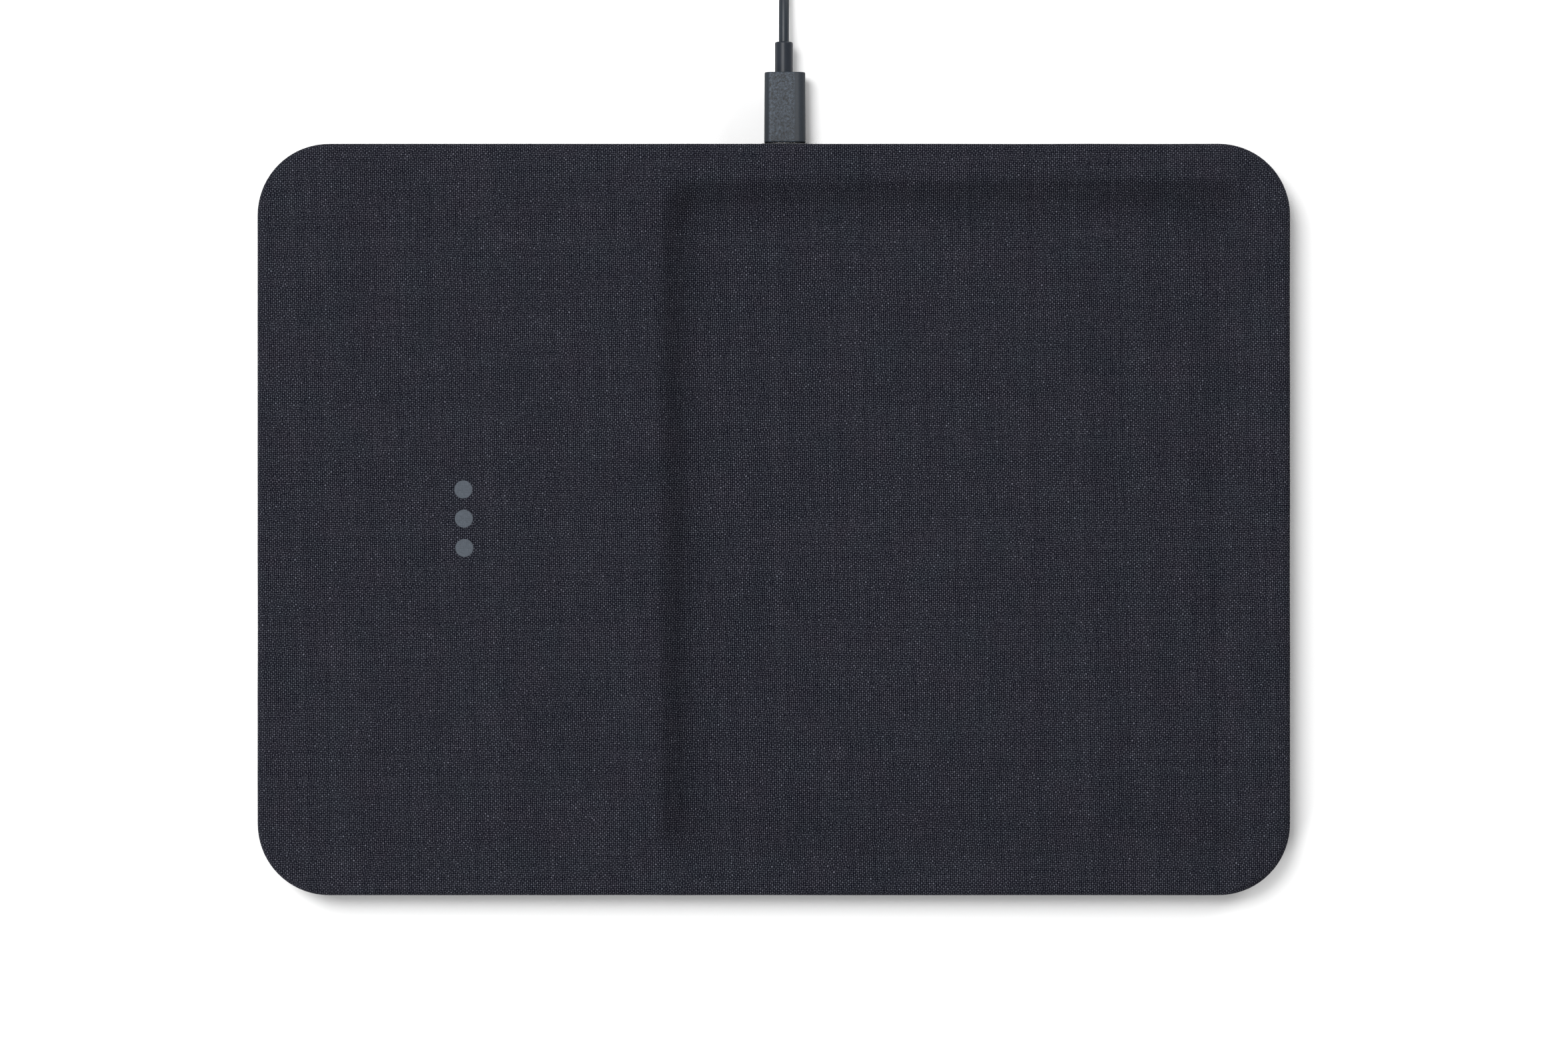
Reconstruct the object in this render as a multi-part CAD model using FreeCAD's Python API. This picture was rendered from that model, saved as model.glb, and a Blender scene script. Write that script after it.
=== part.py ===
import FreeCAD, Part
import math
import os
from FreeCAD import Vector as V

# Wireless charging pad with a recessed catch-all tray, wrapped in linen, with its
# plug-in USB lead.  Millimetres.  +Z up, +X right, +Y to the rear (the cable side).
# Origin: centre of the pad on the surface that it stands on.

os.makedirs("parts", exist_ok=True)

# ------------------------------------------------------------------ driving sizes
PAD_X = 260.0            # overall length
PAD_Y = 189.2            # overall width
PAD_H = 15.0             # overall height, mat to linen
CORNER_R = 18.0          # plan radius of the four corners
EDGE_R = 2.0             # roll of the outer top edge

LINEN_T = 0.6            # linen with its adhesive
WRAP_Z = 1.6             # lowest point of the linen wrap
HEM_IN = 4.6             # how far the hem turns in under the shell

TRAY_X0, TRAY_X1 = -28.3, 121.0     # tray mouth, sharp outline
TRAY_Y = 85.6                       # half width of the tray mouth
TRAY_R = 9.0                        # plan radius of the tray mouth
TRAY_DEPTH = 6.0
TRAY_DRAFT = 6.5                    # run of the wall over the full depth
TRAY_LIP_R = 5.0                    # roll of the mouth
TRAY_FLOOR_R = 6.0                  # sweep between wall and floor

SHELL_T = 2.0            # moulded wall
PLATE_T = 1.8            # moulded plate over the coil

CHARGE_X = -77.9         # centre of the charging zone
DOT_D = 4.5
DOT_PITCH = 7.35
DOT_T = 0.15

BASE_Z = 0.8             # underside of the bottom shell
MAT_T = 1.4
FLOOR_Z = 3.0            # inside floor of the bottom shell

PORT_X = 2.8             # centre of the USB-C port
PORT_Z = 6.5

SCREW_D = 2.4
PILOT_D = 2.5
HEAD_D = 4.6
LONG_BOSSES = [(-117.0, 81.0), (-117.0, -81.0), (-44.0, 81.0), (-44.0, -81.0)]
SHORT_BOSSES = [(-14.0, 66.0), (-14.0, -66.0), (35.0, 74.0), (35.0, -74.0), (110.0, 73.0), (110.0, -73.0)]

CORD_D = 2.6             # cable diameter
COIL_R = 15.6            # radius of the middle turn, for a coil 12 diameters across
COIL_IN, COIL_OUT = 10.4, 20.8      # inside and outside radius of the bundle, four turns wide
COIL_Z0, COIL_Z1 = 0.0, 10.4        # and four turns high
COIL_X, COIL_Y = -18.0, 165.0       # centre of the stowed turns
TIE_T = 0.6              # strap thickness
TIE_OUT = 0.5            # how far the strap stands out of the bundle that it squeezes
TIE_TOP = 0.8            # and above it, since the bundle is lifted by the strap under it
SLEEVE_X = 2.55          # the sleeve and cable leave the plug a little off its centre


# ------------------------------------------------------------------ helpers
def rr_wire(x0, x1, y0, y1, r, z):
    """A rounded rectangle in a plane of constant z."""
    k = r * (1 - math.sqrt(0.5))
    e = []

    def line(a, b):
        if (b - a).Length > 1e-6:
            e.append(Part.LineSegment(a, b).toShape())

    def arc(a, m, b):
        e.append(Part.Arc(a, m, b).toShape())

    line(V(x0 + r, y0, z), V(x1 - r, y0, z))
    arc(V(x1 - r, y0, z), V(x1 - k, y0 + k, z), V(x1, y0 + r, z))
    line(V(x1, y0 + r, z), V(x1, y1 - r, z))
    arc(V(x1, y1 - r, z), V(x1 - k, y1 - k, z), V(x1 - r, y1, z))
    line(V(x1 - r, y1, z), V(x0 + r, y1, z))
    arc(V(x0 + r, y1, z), V(x0 + k, y1 - k, z), V(x0, y1 - r, z))
    line(V(x0, y1 - r, z), V(x0, y0 + r, z))
    arc(V(x0, y0 + r, z), V(x0 + k, y0 + k, z), V(x0 + r, y0, z))
    return Part.Wire(e)


def rr_prism(x0, x1, y0, y1, r, z0, z1):
    return Part.Face(rr_wire(x0, x1, y0, y1, r, z0)).extrude(V(0, 0, z1 - z0))


def pad_prism(inset, z0, z1):
    """The pad's plan outline, inset, between two heights."""
    hx, hy = PAD_X / 2 - inset, PAD_Y / 2 - inset
    return rr_prism(-hx, hx, -hy, hy, CORNER_R - inset, z0, z1)


def box(x0, x1, y0, y1, z0, z1):
    return Part.makeBox(x1 - x0, y1 - y0, z1 - z0, V(x0, y0, z0))


def rbox(x0, x1, y0, y1, z0, z1, r):
    return rr_prism(x0, x1, y0, y1, r, z0, z1)


def cyl(x, y, z0, z1, d):
    return Part.makeCylinder(d / 2, z1 - z0, V(x, y, z0), V(0, 0, 1))


def rr_wire_y(xc, zc, w, h, r, y):
    """A rounded rectangle in a plane of constant y, w along x and h along z."""
    wire = rr_wire(-w / 2, w / 2, -h / 2, h / 2, r, 0)
    wire.rotate(V(0, 0, 0), V(1, 0, 0), 90)
    wire.translate(V(xc, y, zc))
    return wire


def prism_y(xc, zc, w, h, r, y0, y1):
    r = min(r, h / 2 - 1e-4, w / 2 - 1e-4)
    return Part.Face(rr_wire_y(xc, zc, w, h, r, y0)).extrude(V(0, y1 - y0, 0))


def edges_where(shape, test):
    found = []
    for e in shape.Edges:
        b = e.BoundBox
        if test(b, e):
            found.append(e)
    return found


def flat_at(b, z, tol=1e-3):
    return abs(b.ZMin - z) < tol and abs(b.ZMax - z) < tol


def route(points, verbose=None):
    """Straight runs joined by tangent arcs, each as large as its two runs allow."""
    p = [V(*q) for q in points]
    edges, at, radii = [], p[0], []
    for i in range(1, len(p) - 1):
        a, b, c = p[i - 1], p[i], p[i + 1]
        d1, d2 = (b - a), (c - b)
        l1, l2 = d1.Length, d2.Length
        d1.normalize()
        d2.normalize()
        turn = d1.getAngle(d2)
        if turn < 1e-4:
            continue
        t = 0.45 * min(l1, l2)
        radius = t / math.tan(turn / 2)
        radii.append(radius)
        s, e = b - d1 * t, b + d2 * t
        bis = (d2 - d1)
        bis.normalize()
        centre = b + bis * (radius / math.cos(turn / 2))
        mid = centre - bis * radius
        if (s - at).Length > 1e-5:
            edges.append(Part.LineSegment(at, s).toShape())
        edges.append(Part.Arc(s, mid, e).toShape())
        at = e
    edges.append(Part.LineSegment(at, p[-1]).toShape())
    wire = Part.Wire(edges)
    if verbose:
        runs = [(p[i + 1] - p[i]).Length for i in range(len(p) - 1)]
        print(verbose, "length %.1f" % wire.Length, "runs", ["%.1f" % x for x in runs],
              "radii", ["%.1f" % x for x in radii])
    return wire


def tube(points, d, verbose=None):
    wire = route(points, verbose)
    start = V(*points[0])
    heading = V(*points[1]) - start
    heading.normalize()
    ring = Part.Wire([Part.Circle(start, heading, d / 2).toShape()])
    solid = wire.makePipeShell([ring], True, True)
    if solid.Volume < 0:
        solid.reverse()
    want = math.pi * d * d / 4 * wire.Length
    if verbose:
        print(verbose, "volume %.2f of %.2f, valid %s" % (solid.Volume, want, solid.isValid()))
    assert abs(solid.Volume - want) < 0.02 * want, "tube volume"
    return solid


made = {}


def put(name, shape):
    """Checks one piece and writes it out under its name."""
    solids = shape.Solids
    assert solids, name
    for s in solids:
        assert s.isValid(), name + " is not valid"
        assert s.Volume > 0, name + " has no volume"
    out = solids[0] if len(solids) == 1 else Part.makeCompound(solids)
    out.exportStep("parts/" + name + ".step")
    made[name] = out
    print("%-26s solids %2d  volume %10.2f" % (name, len(solids), sum(s.Volume for s in solids)))


# ------------------------------------------------------------------ the tray form
SLOPE = TRAY_DRAFT / TRAY_DEPTH
COS = math.cos(math.atan(SLOPE))


def tray_form(off, ztop, floor_r):
    """The tray hollow grown by off all round: from ztop down to the grown floor."""
    zf = PAD_H - TRAY_DEPTH - off

    def u(z):
        return -off / COS + (PAD_H - z) * SLOPE

    def w(z):
        i = u(z)
        return rr_wire(TRAY_X0 + i, TRAY_X1 - i, -TRAY_Y + i, TRAY_Y - i, TRAY_R - i, z)

    solid = Part.makeLoft([w(zf), w(ztop)], True, True)
    if solid.Volume < 0:
        solid.reverse()
    low = edges_where(solid, lambda b, e: flat_at(b, zf))
    return solid.makeFillet(floor_r, low)


def skin_form(off, z0):
    """The outside of the pad at a depth of off under the linen, solid inside."""
    ztop = PAD_H - off
    body = pad_prism(off, z0, ztop)
    outer = edges_where(body, lambda b, e: flat_at(b, ztop))
    body = body.makeFillet(max(EDGE_R - off, 0.3), outer)
    hollow = tray_form(off, ztop + 2.0, TRAY_FLOOR_R + off)
    body = body.cut(hollow)
    x0, x1 = TRAY_X0 - 2.5, TRAY_X1 + 2.5
    lip = edges_where(
        body,
        lambda b, e: flat_at(b, ztop) and b.XMin > x0 and b.XMax < x1 and abs(b.YMin) < TRAY_Y + 2.5 and abs(b.YMax) < TRAY_Y + 2.5,
    )
    return body.makeFillet(TRAY_LIP_R - off, lip)


# ------------------------------------------------------------------ linen cover
linen_outer = skin_form(0.0, WRAP_Z)
shell_outer = skin_form(LINEN_T, WRAP_Z + LINEN_T)
linen = linen_outer.cut(shell_outer)
linen = linen.cut(pad_prism(HEM_IN, WRAP_Z - 1, WRAP_Z + LINEN_T + 0.2))

NECK_W, NECK_H = 11.0, 5.2
port_hole = prism_y(PORT_X, PORT_Z, NECK_W + 0.2, NECK_H + 0.2, 9, 90.5, 97.0)
linen = linen.cut(port_hole)

PIPE_X, PIPE_Z, PIPE_D = CHARGE_X, 7.6, 2.0
pipe_hole = Part.makeCylinder((PIPE_D + 0.2) / 2, 8.0, V(PIPE_X, -97.0, PIPE_Z), V(0, 1, 0))
linen = linen.cut(pipe_hole)

dots = []
for i in (-1, 0, 1):
    d = cyl(CHARGE_X, i * DOT_PITCH, PAD_H - DOT_T, PAD_H, DOT_D)
    dots.append(d)
    linen = linen.cut(cyl(CHARGE_X, i * DOT_PITCH, PAD_H - DOT_T, PAD_H + 1, DOT_D))
put("linen_cover", linen)
put("locating_dots", Part.makeCompound(dots))

# ------------------------------------------------------------------ top shell
cavity_top = PAD_H - LINEN_T - PLATE_T
cavity = pad_prism(LINEN_T + SHELL_T, WRAP_Z, cavity_top)
cavity = cavity.cut(tray_form(LINEN_T + SHELL_T, cavity_top + 3.0, TRAY_FLOOR_R + LINEN_T + SHELL_T))
under_tray = PAD_H - TRAY_DEPTH - LINEN_T - SHELL_T
boss_foot = FLOOR_Z + 1.2
top_shell = shell_outer.cut(cavity)
for x, y in LONG_BOSSES:
    top_shell = top_shell.fuse(cyl(x, y, boss_foot, cavity_top + 0.3, 7.0))
for x, y in SHORT_BOSSES:
    top_shell = top_shell.fuse(cyl(x, y, boss_foot, under_tray + 0.3, 7.0))
for x, y in LONG_BOSSES:
    top_shell = top_shell.cut(cyl(x, y, boss_foot - 1, boss_foot + 6.0, PILOT_D))
for x, y in SHORT_BOSSES:
    top_shell = top_shell.cut(cyl(x, y, boss_foot - 1, boss_foot + 3.1, PILOT_D))
top_shell = top_shell.cut(port_hole).cut(pipe_hole)
# stiffening ribs over the charging zone
for x in (-122.0, -112.5):
    top_shell = top_shell.fuse(box(x, x + 1.2, -60.0, 60.0, cavity_top - 1.6, cavity_top + 0.1))
top_shell = top_shell.removeSplitter()
put("top_shell", top_shell)

# ------------------------------------------------------------------ bottom shell
bottom = pad_prism(1.2, BASE_Z, WRAP_Z)
bottom = bottom.fuse(pad_prism(5.0, WRAP_Z - 0.1, FLOOR_Z))
rib = pad_prism(5.0, FLOOR_Z - 0.1, FLOOR_Z + 1.4).cut(pad_prism(6.6, FLOOR_Z - 1, FLOOR_Z + 2))
rib = rib.cut(box(-12.0, 18.0, 80.0, 95.0, FLOOR_Z, FLOOR_Z + 3))
bottom = bottom.fuse(rib)
bottom = bottom.cut(pad_prism(6.5, BASE_Z - 1, MAT_T))
for x, y in LONG_BOSSES + SHORT_BOSSES:
    bottom = bottom.fuse(cyl(x, y, FLOOR_Z - 0.2, boss_foot, 8.0))
for x, y in LONG_BOSSES + SHORT_BOSSES:
    bottom = bottom.cut(cyl(x, y, BASE_Z - 1, FLOOR_Z, HEAD_D + 0.6))
    bottom = bottom.cut(cyl(x, y, BASE_Z - 1, boss_foot + 1, PILOT_D + 0.3))

BOARD = dict(x0=-106.0, x1=-50.0, y0=-86.0, y1=-38.0, z0=5.0, z1=6.6)
BOARD_HOLES = [(-102.0, -82.0), (-54.0, -82.0), (-102.0, -42.0), (-54.0, -42.0)]
for x, y in BOARD_HOLES:
    bottom = bottom.fuse(cyl(x, y, FLOOR_Z - 0.2, BOARD["z0"], 6.0))
    bottom = bottom.cut(cyl(x, y, 2.2, BOARD["z0"] + 1, PILOT_D))
USB = dict(x0=PORT_X - 12.0, x1=PORT_X + 12.0, y0=72.0, y1=91.5, z0=3.92, z1=4.92)
USB_HOLES = [(PORT_X - 8.5, 75.5), (PORT_X + 8.5, 75.5)]
for x, y in USB_HOLES:
    bottom = bottom.fuse(cyl(x, y, FLOOR_Z - 0.2, USB["z0"], 5.0))
    bottom = bottom.cut(cyl(x, y, 2.2, USB["z0"] + 1, 2.1))
bottom = bottom.fuse(box(PORT_X - 9, PORT_X + 9, 84.0, 86.0, FLOOR_Z - 0.2, USB["z0"]))
bottom = bottom.removeSplitter()
put("bottom_shell", bottom)


mat = pad_prism(6.7, 0.0, MAT_T)
mat_edge = edges_where(mat, lambda b, e: flat_at(b, 0.0))
mat = mat.makeChamfer(0.3, mat_edge)
put("base_mat", mat)

screws = []
for x, y in LONG_BOSSES + SHORT_BOSSES:
    length = 5.2 if (x, y) in LONG_BOSSES else 3.0
    head = cyl(x, y, FLOOR_Z - 1.4, FLOOR_Z, HEAD_D)
    shank = cyl(x, y, FLOOR_Z - 0.1, boss_foot + length - 0.2, SCREW_D)
    drive = Part.makeBox(2.4, 0.5, 0.7, V(x - 1.2, y - 0.25, FLOOR_Z - 1.5))
    cross = Part.makeBox(0.5, 2.4, 0.7, V(x - 0.25, y - 1.2, FLOOR_Z - 1.5))
    screws.append(head.fuse(shank).cut(drive).cut(cross).removeSplitter())
put("case_screws", Part.makeCompound(screws))

# ------------------------------------------------------------------ ballast under the tray
put("ballast_plate", rbox(-8.0, 104.0, -62.0, 62.0, FLOOR_Z, FLOOR_Z + 2.0, 4.0))
put("ballast_foam", Part.makeCompound([
    rbox(2.0, 94.0, 34.0, 44.0, FLOOR_Z + 2.0, under_tray, 1.0),
    rbox(2.0, 94.0, -44.0, -34.0, FLOOR_Z + 2.0, under_tray, 1.0)]))

# ------------------------------------------------------------------ charging coil stack
CX, CY = CHARGE_X, 0.0
carrier = rbox(CX - 31, CX + 31, CY - 31, CY + 31, 9.0, 12.3, 5.0)
carrier = carrier.cut(rbox(CX - 29.5, CX + 29.5, CY - 29.5, CY + 29.5, 10.3, 13.0, 3.5))
carrier = carrier.cut(cyl(CX, CY, 8.0, 11.0, 17.0))
for dx in (-26, 26):
    for dy in (-26, 26):
        carrier = carrier.fuse(cyl(CX + dx, CY + dy, FLOOR_Z, 9.2, 7.0))
carrier = carrier.cut(box(CX + 5.6, CX + 7.2, CY - 32, CY - 29, 10.35, 13))
carrier = carrier.cut(box(CX - 6.4, CX - 4.8, CY - 32, CY - 14.0, 10.0, 13))
carrier = carrier.cut(box(CX - 6.4, CX + 0.8, CY - 14.6, CY - 7.0, 10.0, 13))
carrier = carrier.removeSplitter()
put("coil_carrier", carrier)

ferrite = rbox(CX - 28.5, CX + 28.5, CY - 28.5, CY + 28.5, 10.3, 11.3, 3.0).cut(cyl(CX, CY, 10.0, 12.0, 16.0))
ferrite = ferrite.cut(box(CX - 6.4, CX + 0.8, CY - 14.6, CY - 6.8, 10, 12)).cut(box(CX - 6.4, CX - 4.8, CY - 29, CY - 14.0, 10, 12))
put("ferrite_plate", ferrite)

# a flat winding: half turns on two centres, each half a pitch further out
WIRE_W, WIRE_H, WIRE_PITCH, TURNS = 1.06, 1.1, 1.2, 12
wind = None
r0 = 10.25
for k in range(2 * TURNS):
    c = V(CX, CY + (-WIRE_PITCH / 4 if k % 2 else WIRE_PITCH / 4), 11.3)
    ri = r0 + k * WIRE_PITCH / 2
    ro = ri + WIRE_W
    s = 1 if k % 2 == 0 else -1          # odd half turns lie on the other side
    a_i, a_m, a_o = c + V(0, -ri * s, 0), c + V(ri * s, 0, 0), c + V(0, ri * s, 0)
    b_i, b_m, b_o = c + V(0, -ro * s, 0), c + V(ro * s, 0, 0), c + V(0, ro * s, 0)
    face = Part.Face(Part.Wire([
        Part.Arc(a_i, a_m, a_o).toShape(), Part.LineSegment(a_o, b_o).toShape(),
        Part.Arc(b_o, b_m, b_i).toShape(), Part.LineSegment(b_i, a_i).toShape()]))
    half = face.extrude(V(0, 0, WIRE_H))
    if half.Volume < 0:
        half.reverse()
    wind = half if wind is None else wind.fuse(half)
wind = wind.removeSplitter()
put("charging_coil", wind)

LEAD_D = 1.0
in_y = CY + WIRE_PITCH / 4 - r0 - WIRE_W / 2
out_y = CY - WIRE_PITCH / 4 - (r0 + (2 * TURNS - 1) * WIRE_PITCH / 2) - WIRE_W / 2
lead_a = tube([(CX, out_y, 11.85), (CX + 3.6, out_y, 11.85), (CX + 6.4, out_y - 3.2, 11.87), (CX + 6.4, -32.6, 11.8),
               (CX + 6.4, -37.2, 8.4), (CX + 6.4, -41.4, 7.12)], LEAD_D, "coil lead out")
lead_b = tube([(CX, in_y, 11.85), (CX - 3.4, in_y + 0.3, 10.8), (CX - 5.6, -13.4, 10.8), (CX - 5.65, -19.0, 10.82),
               (CX - 5.6, -26.0, 10.8), (CX - 5.6, -32.6, 10.7), (CX - 5.6, -36.6, 7.9), (CX - 5.6, -41.0, 7.12)], LEAD_D, "coil lead in")
put("coil_leads", Part.makeCompound([lead_a, lead_b]))

bead = Part.makeSphere(1.1, V(CX - 3.0, 2.0, 11.3))
therm_1 = tube([(CX - 3.4, 2.0, 11.0), (CX - 3.4, 2.0, 8.4), (CX - 3.4, -2.6, 7.7), (CX - 3.4, -12.0, 7.6),
                (CX - 3.4, -26.0, 7.5), (CX - 3.4, -41.0, 6.95)], 0.5)
therm_2 = therm_1.translated(V(0.8, 0, 0))
put("thermistor", bead.fuse(therm_1).fuse(therm_2).removeSplitter())

# ------------------------------------------------------------------ control board
b = BOARD
board = rbox(b["x0"], b["x1"], b["y0"], b["y1"], b["z0"], b["z1"], 2.0)
for x, y in BOARD_HOLES:
    board = board.cut(cyl(x, y, 4.0, 8.0, 2.8))
put("control_board", board)
ZT = b["z1"]
put("controller_chip", rbox(-89.5, -82.5, -65.5, -58.5, ZT, ZT + 0.9, 0.2))
put("driver_transistors", Part.makeCompound([
    rbox(x, x + 5.0, y, y + 6.0, ZT, ZT + 1.0, 0.2) for x in (-75.0, -68.0) for y in (-61.6, -69.6)]))
put("resonant_capacitors", Part.makeCompound([
    rbox(x, x + 5.7, -55.0, -50.0, ZT, ZT + 2.8, 0.3) for x in (-94.0, -87.0, -72.0, -65.0)]))
put("power_inductor", rbox(-101.5, -92.5, -69.0, -60.0, ZT, ZT + 4.0, 1.2))
caps = []
for x, y in ((-98.0, -75.5), (-92.0, -75.5), (-88.5, -75.0), (-68.0, -75.5), (-63.5, -75.5)):
    caps.append(rbox(x, x + 1.6, y, y + 3.2, ZT, ZT + 1.6, 0.15))
for x in (-96.0, -92.0, -88.0, -84.0, -72.0, -68.0, -64.0):
    caps.append(rbox(x, x + 1.0, -48.0, -46.0, ZT, ZT + 0.5, 0.1))
put("filter_capacitors", Part.makeCompound(caps))
put("harness_socket", rbox(-57.5, -50.8, -66.0, -54.0, ZT, ZT + 3.6, 0.4))
board_screws = []
for x, y in BOARD_HOLES:
    s = cyl(x, y, ZT, ZT + 1.5, HEAD_D).fuse(cyl(x, y, 2.6, ZT + 0.1, SCREW_D))
    board_screws.append(s.cut(Part.makeBox(2.4, 0.5, 1.0, V(x - 1.2, y - 0.25, ZT + 0.8))).removeSplitter())
put("board_screws", Part.makeCompound(board_screws))

led = box(PIPE_X - 1.6, PIPE_X + 1.6, -85.9, -84.0, ZT, ZT + 1.9)
put("status_led", led)
put("light_pipe", Part.makeCylinder(PIPE_D / 2, 8.45, V(PIPE_X, -94.5, PIPE_Z), V(0, 1, 0)))

# ------------------------------------------------------------------ power harness: four wires
wires = []
for i in range(4):
    y_a = -62.25 + 1.5 * i
    x_i = -34.4 - 1.5 * i
    y_b = 78.3 + 1.5 * i
    wires.append(tube([
        (-50.8, y_a, 8.4), (-45.4, y_a, 8.4), (x_i, y_a, 8.3), (x_i - 0.1, -46.0 + i, 7.4),
        (x_i, -24.0, 3.62), (x_i - 0.4, 8.0, 3.57), (x_i + 0.2, 38.0, 3.57), (x_i, 62.0, 3.62), (x_i + 0.2, y_b, 5.2), (-22.0, y_b, 5.5),
        (-5.6, y_b + 0.05, 5.5)], 1.1, "harness wire %d" % i))
put("power_harness", Part.makeCompound(wires))

# ------------------------------------------------------------------ USB-C port
u_ = USB
usb = rbox(u_["x0"], u_["x1"], u_["y0"], u_["y1"], u_["z0"], u_["z1"], 1.0)
for x, y in USB_HOLES:
    usb = usb.cut(cyl(x, y, 3.0, 6.0, 2.3))
put("usb_board", usb)
usb_screws = []
for x, y in USB_HOLES:
    usb_screws.append(cyl(x, y, u_["z1"], u_["z1"] + 0.9, 3.4).fuse(cyl(x, y, 2.6, u_["z1"] + 0.1, 2.0)).removeSplitter())
put("usb_board_screws", Part.makeCompound(usb_screws))

MOUTH_Y = PAD_Y / 2 + 0.3          # receptacle mouth, just inside the bezel's face
BACK_Y = MOUTH_Y - 7.7
shell_r = prism_y(PORT_X, PORT_Z, 8.94, 3.16, 9, BACK_Y, MOUTH_Y)
shell_r = shell_r.cut(prism_y(PORT_X, PORT_Z, 8.34, 2.56, 9, BACK_Y + 0.5, MOUTH_Y + 1))
put("receptacle_shell", shell_r)
TONGUE_TIP = MOUTH_Y - 1.0
tongue = prism_y(PORT_X, PORT_Z, 8.30, 2.52, 9, BACK_Y + 0.5, BACK_Y + 1.2)
tongue = tongue.fuse(prism_y(PORT_X, PORT_Z, 6.69, 0.70, 0.15, BACK_Y + 1.1, TONGUE_TIP)).removeSplitter()
contacts = []
for k in range(12):
    x = PORT_X + (k - 5.5) * 0.5
    for s in (-1, 1):
        z0, z1 = sorted((PORT_Z + s * 0.27, PORT_Z + s * 0.35))
        contacts.append(box(x - 0.14, x + 0.14, BACK_Y + 1.8, TONGUE_TIP - 0.5, z0, z1))
for c in contacts:
    tongue = tongue.cut(c)
put("receptacle_tongue", tongue)
put("receptacle_contacts", Part.makeCompound(contacts))

bezel = prism_y(PORT_X, PORT_Z, 12.6, 6.8, 9, PAD_Y / 2, PAD_Y / 2 + 0.5)
bezel_face = edges_where(bezel, lambda q, e: abs(q.YMin - (PAD_Y / 2 + 0.5)) < 1e-4 and abs(q.YMax - (PAD_Y / 2 + 0.5)) < 1e-4)
bezel = bezel.makeFillet(0.3, bezel_face)
bezel = bezel.fuse(prism_y(PORT_X, PORT_Z, NECK_W, NECK_H, 9, 92.0, PAD_Y / 2 + 0.1))
bezel = bezel.cut(prism_y(PORT_X, PORT_Z, 9.2, 3.4, 9, 90.0, 97.0)).removeSplitter()
put("port_bezel", bezel)

# ------------------------------------------------------------------ the lead: USB-C plug
FACE_Y = MOUTH_Y + 0.45            # front face of the overmould
TIP_Y = FACE_Y - 6.65              # tip of the plug's shell
PLUG_END_Y = 113.1
SLEEVE_END_Y = 120.9
over = Part.makeLoft([
    rr_wire_y(PORT_X, PORT_Z, 10.5, 6.3, 1.9, FACE_Y),
    rr_wire_y(PORT_X, PORT_Z, 10.3, 6.2, 1.9, PLUG_END_Y)], True, True)
if over.Volume < 0:
    over.reverse()
ends = edges_where(over, lambda q, e: q.YMax - q.YMin < 1e-4)
over = over.makeFillet(0.25, ends)
shell_c_outer = prism_y(PORT_X, PORT_Z, 8.25, 2.40, 9, TIP_Y, FACE_Y + 2.0)
over = over.cut(shell_c_outer)
put("plug_c_overmould", over)
shell_c = shell_c_outer.cut(prism_y(PORT_X, PORT_Z, 7.75, 1.90, 9, TIP_Y - 1, FACE_Y + 3.0))
put("plug_c_shell", shell_c)
SLOT_END = TONGUE_TIP + 0.25
insert = prism_y(PORT_X, PORT_Z, 7.75, 1.90, 9, TIP_Y + 0.2, FACE_Y + 2.0)
insert = insert.cut(box(PORT_X - 3.5, PORT_X + 3.5, TIP_Y - 1, SLOT_END, PORT_Z - 0.45, PORT_Z + 0.45))
pins = []
for k in range(12):
    x = PORT_X + (k - 5.5) * 0.5
    for s in (-1, 1):
        z0, z1 = sorted((PORT_Z + s * 0.45, PORT_Z + s * 0.55))
        pins.append(box(x - 0.12, x + 0.12, TIP_Y + 0.8, SLOT_END - 0.2, z0, z1))
for c in pins:
    insert = insert.cut(c)
put("plug_c_insert", insert)
put("plug_c_contacts", Part.makeCompound(pins))
sleeve = Part.makeCylinder(4.55 / 2, SLEEVE_END_Y - PLUG_END_Y, V(SLEEVE_X, PLUG_END_Y, PORT_Z), V(0, 1, 0))
sleeve = sleeve.makeFillet(0.4, edges_where(sleeve, lambda q, e: abs(q.YMin - SLEEVE_END_Y) < 1e-4))
put("plug_c_sleeve", sleeve)

# ------------------------------------------------------------------ the lead: cable
LEAD_ROUTE = [
    (SLEEVE_X, SLEEVE_END_Y, PORT_Z),
    (SLEEVE_X, 129.4, PORT_Z),
    (2.7, 139.6, 3.1),
    (2.5, 149.0, 1.5),
    (1.7, 157.4, 1.34),
    (1.3, 165.2, 1.36),
]
put("cable_lead", tube(LEAD_ROUTE, CORD_D, "cable lead"))

zc = (COIL_Z0 + COIL_Z1) / 2
prof = rr_wire(COIL_IN, COIL_OUT, -(COIL_Z1 - COIL_Z0) / 2, (COIL_Z1 - COIL_Z0) / 2, 2.6, 0)
prof.rotate(V(0, 0, 0), V(1, 0, 0), 90)
prof.translate(V(COIL_X, COIL_Y, zc))
coil = Part.Face(prof).revolve(V(COIL_X, COIL_Y, 0), V(0, 0, 1), 360)
coil = Part.Solid(coil) if coil.ShapeType != "Solid" else coil
if coil.Volume < 0:
    coil.reverse()
TIE_A0, TIE_SPAN = 205.0, 30.0     # where the tie wraps the bundle, in degrees about the coil


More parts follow.
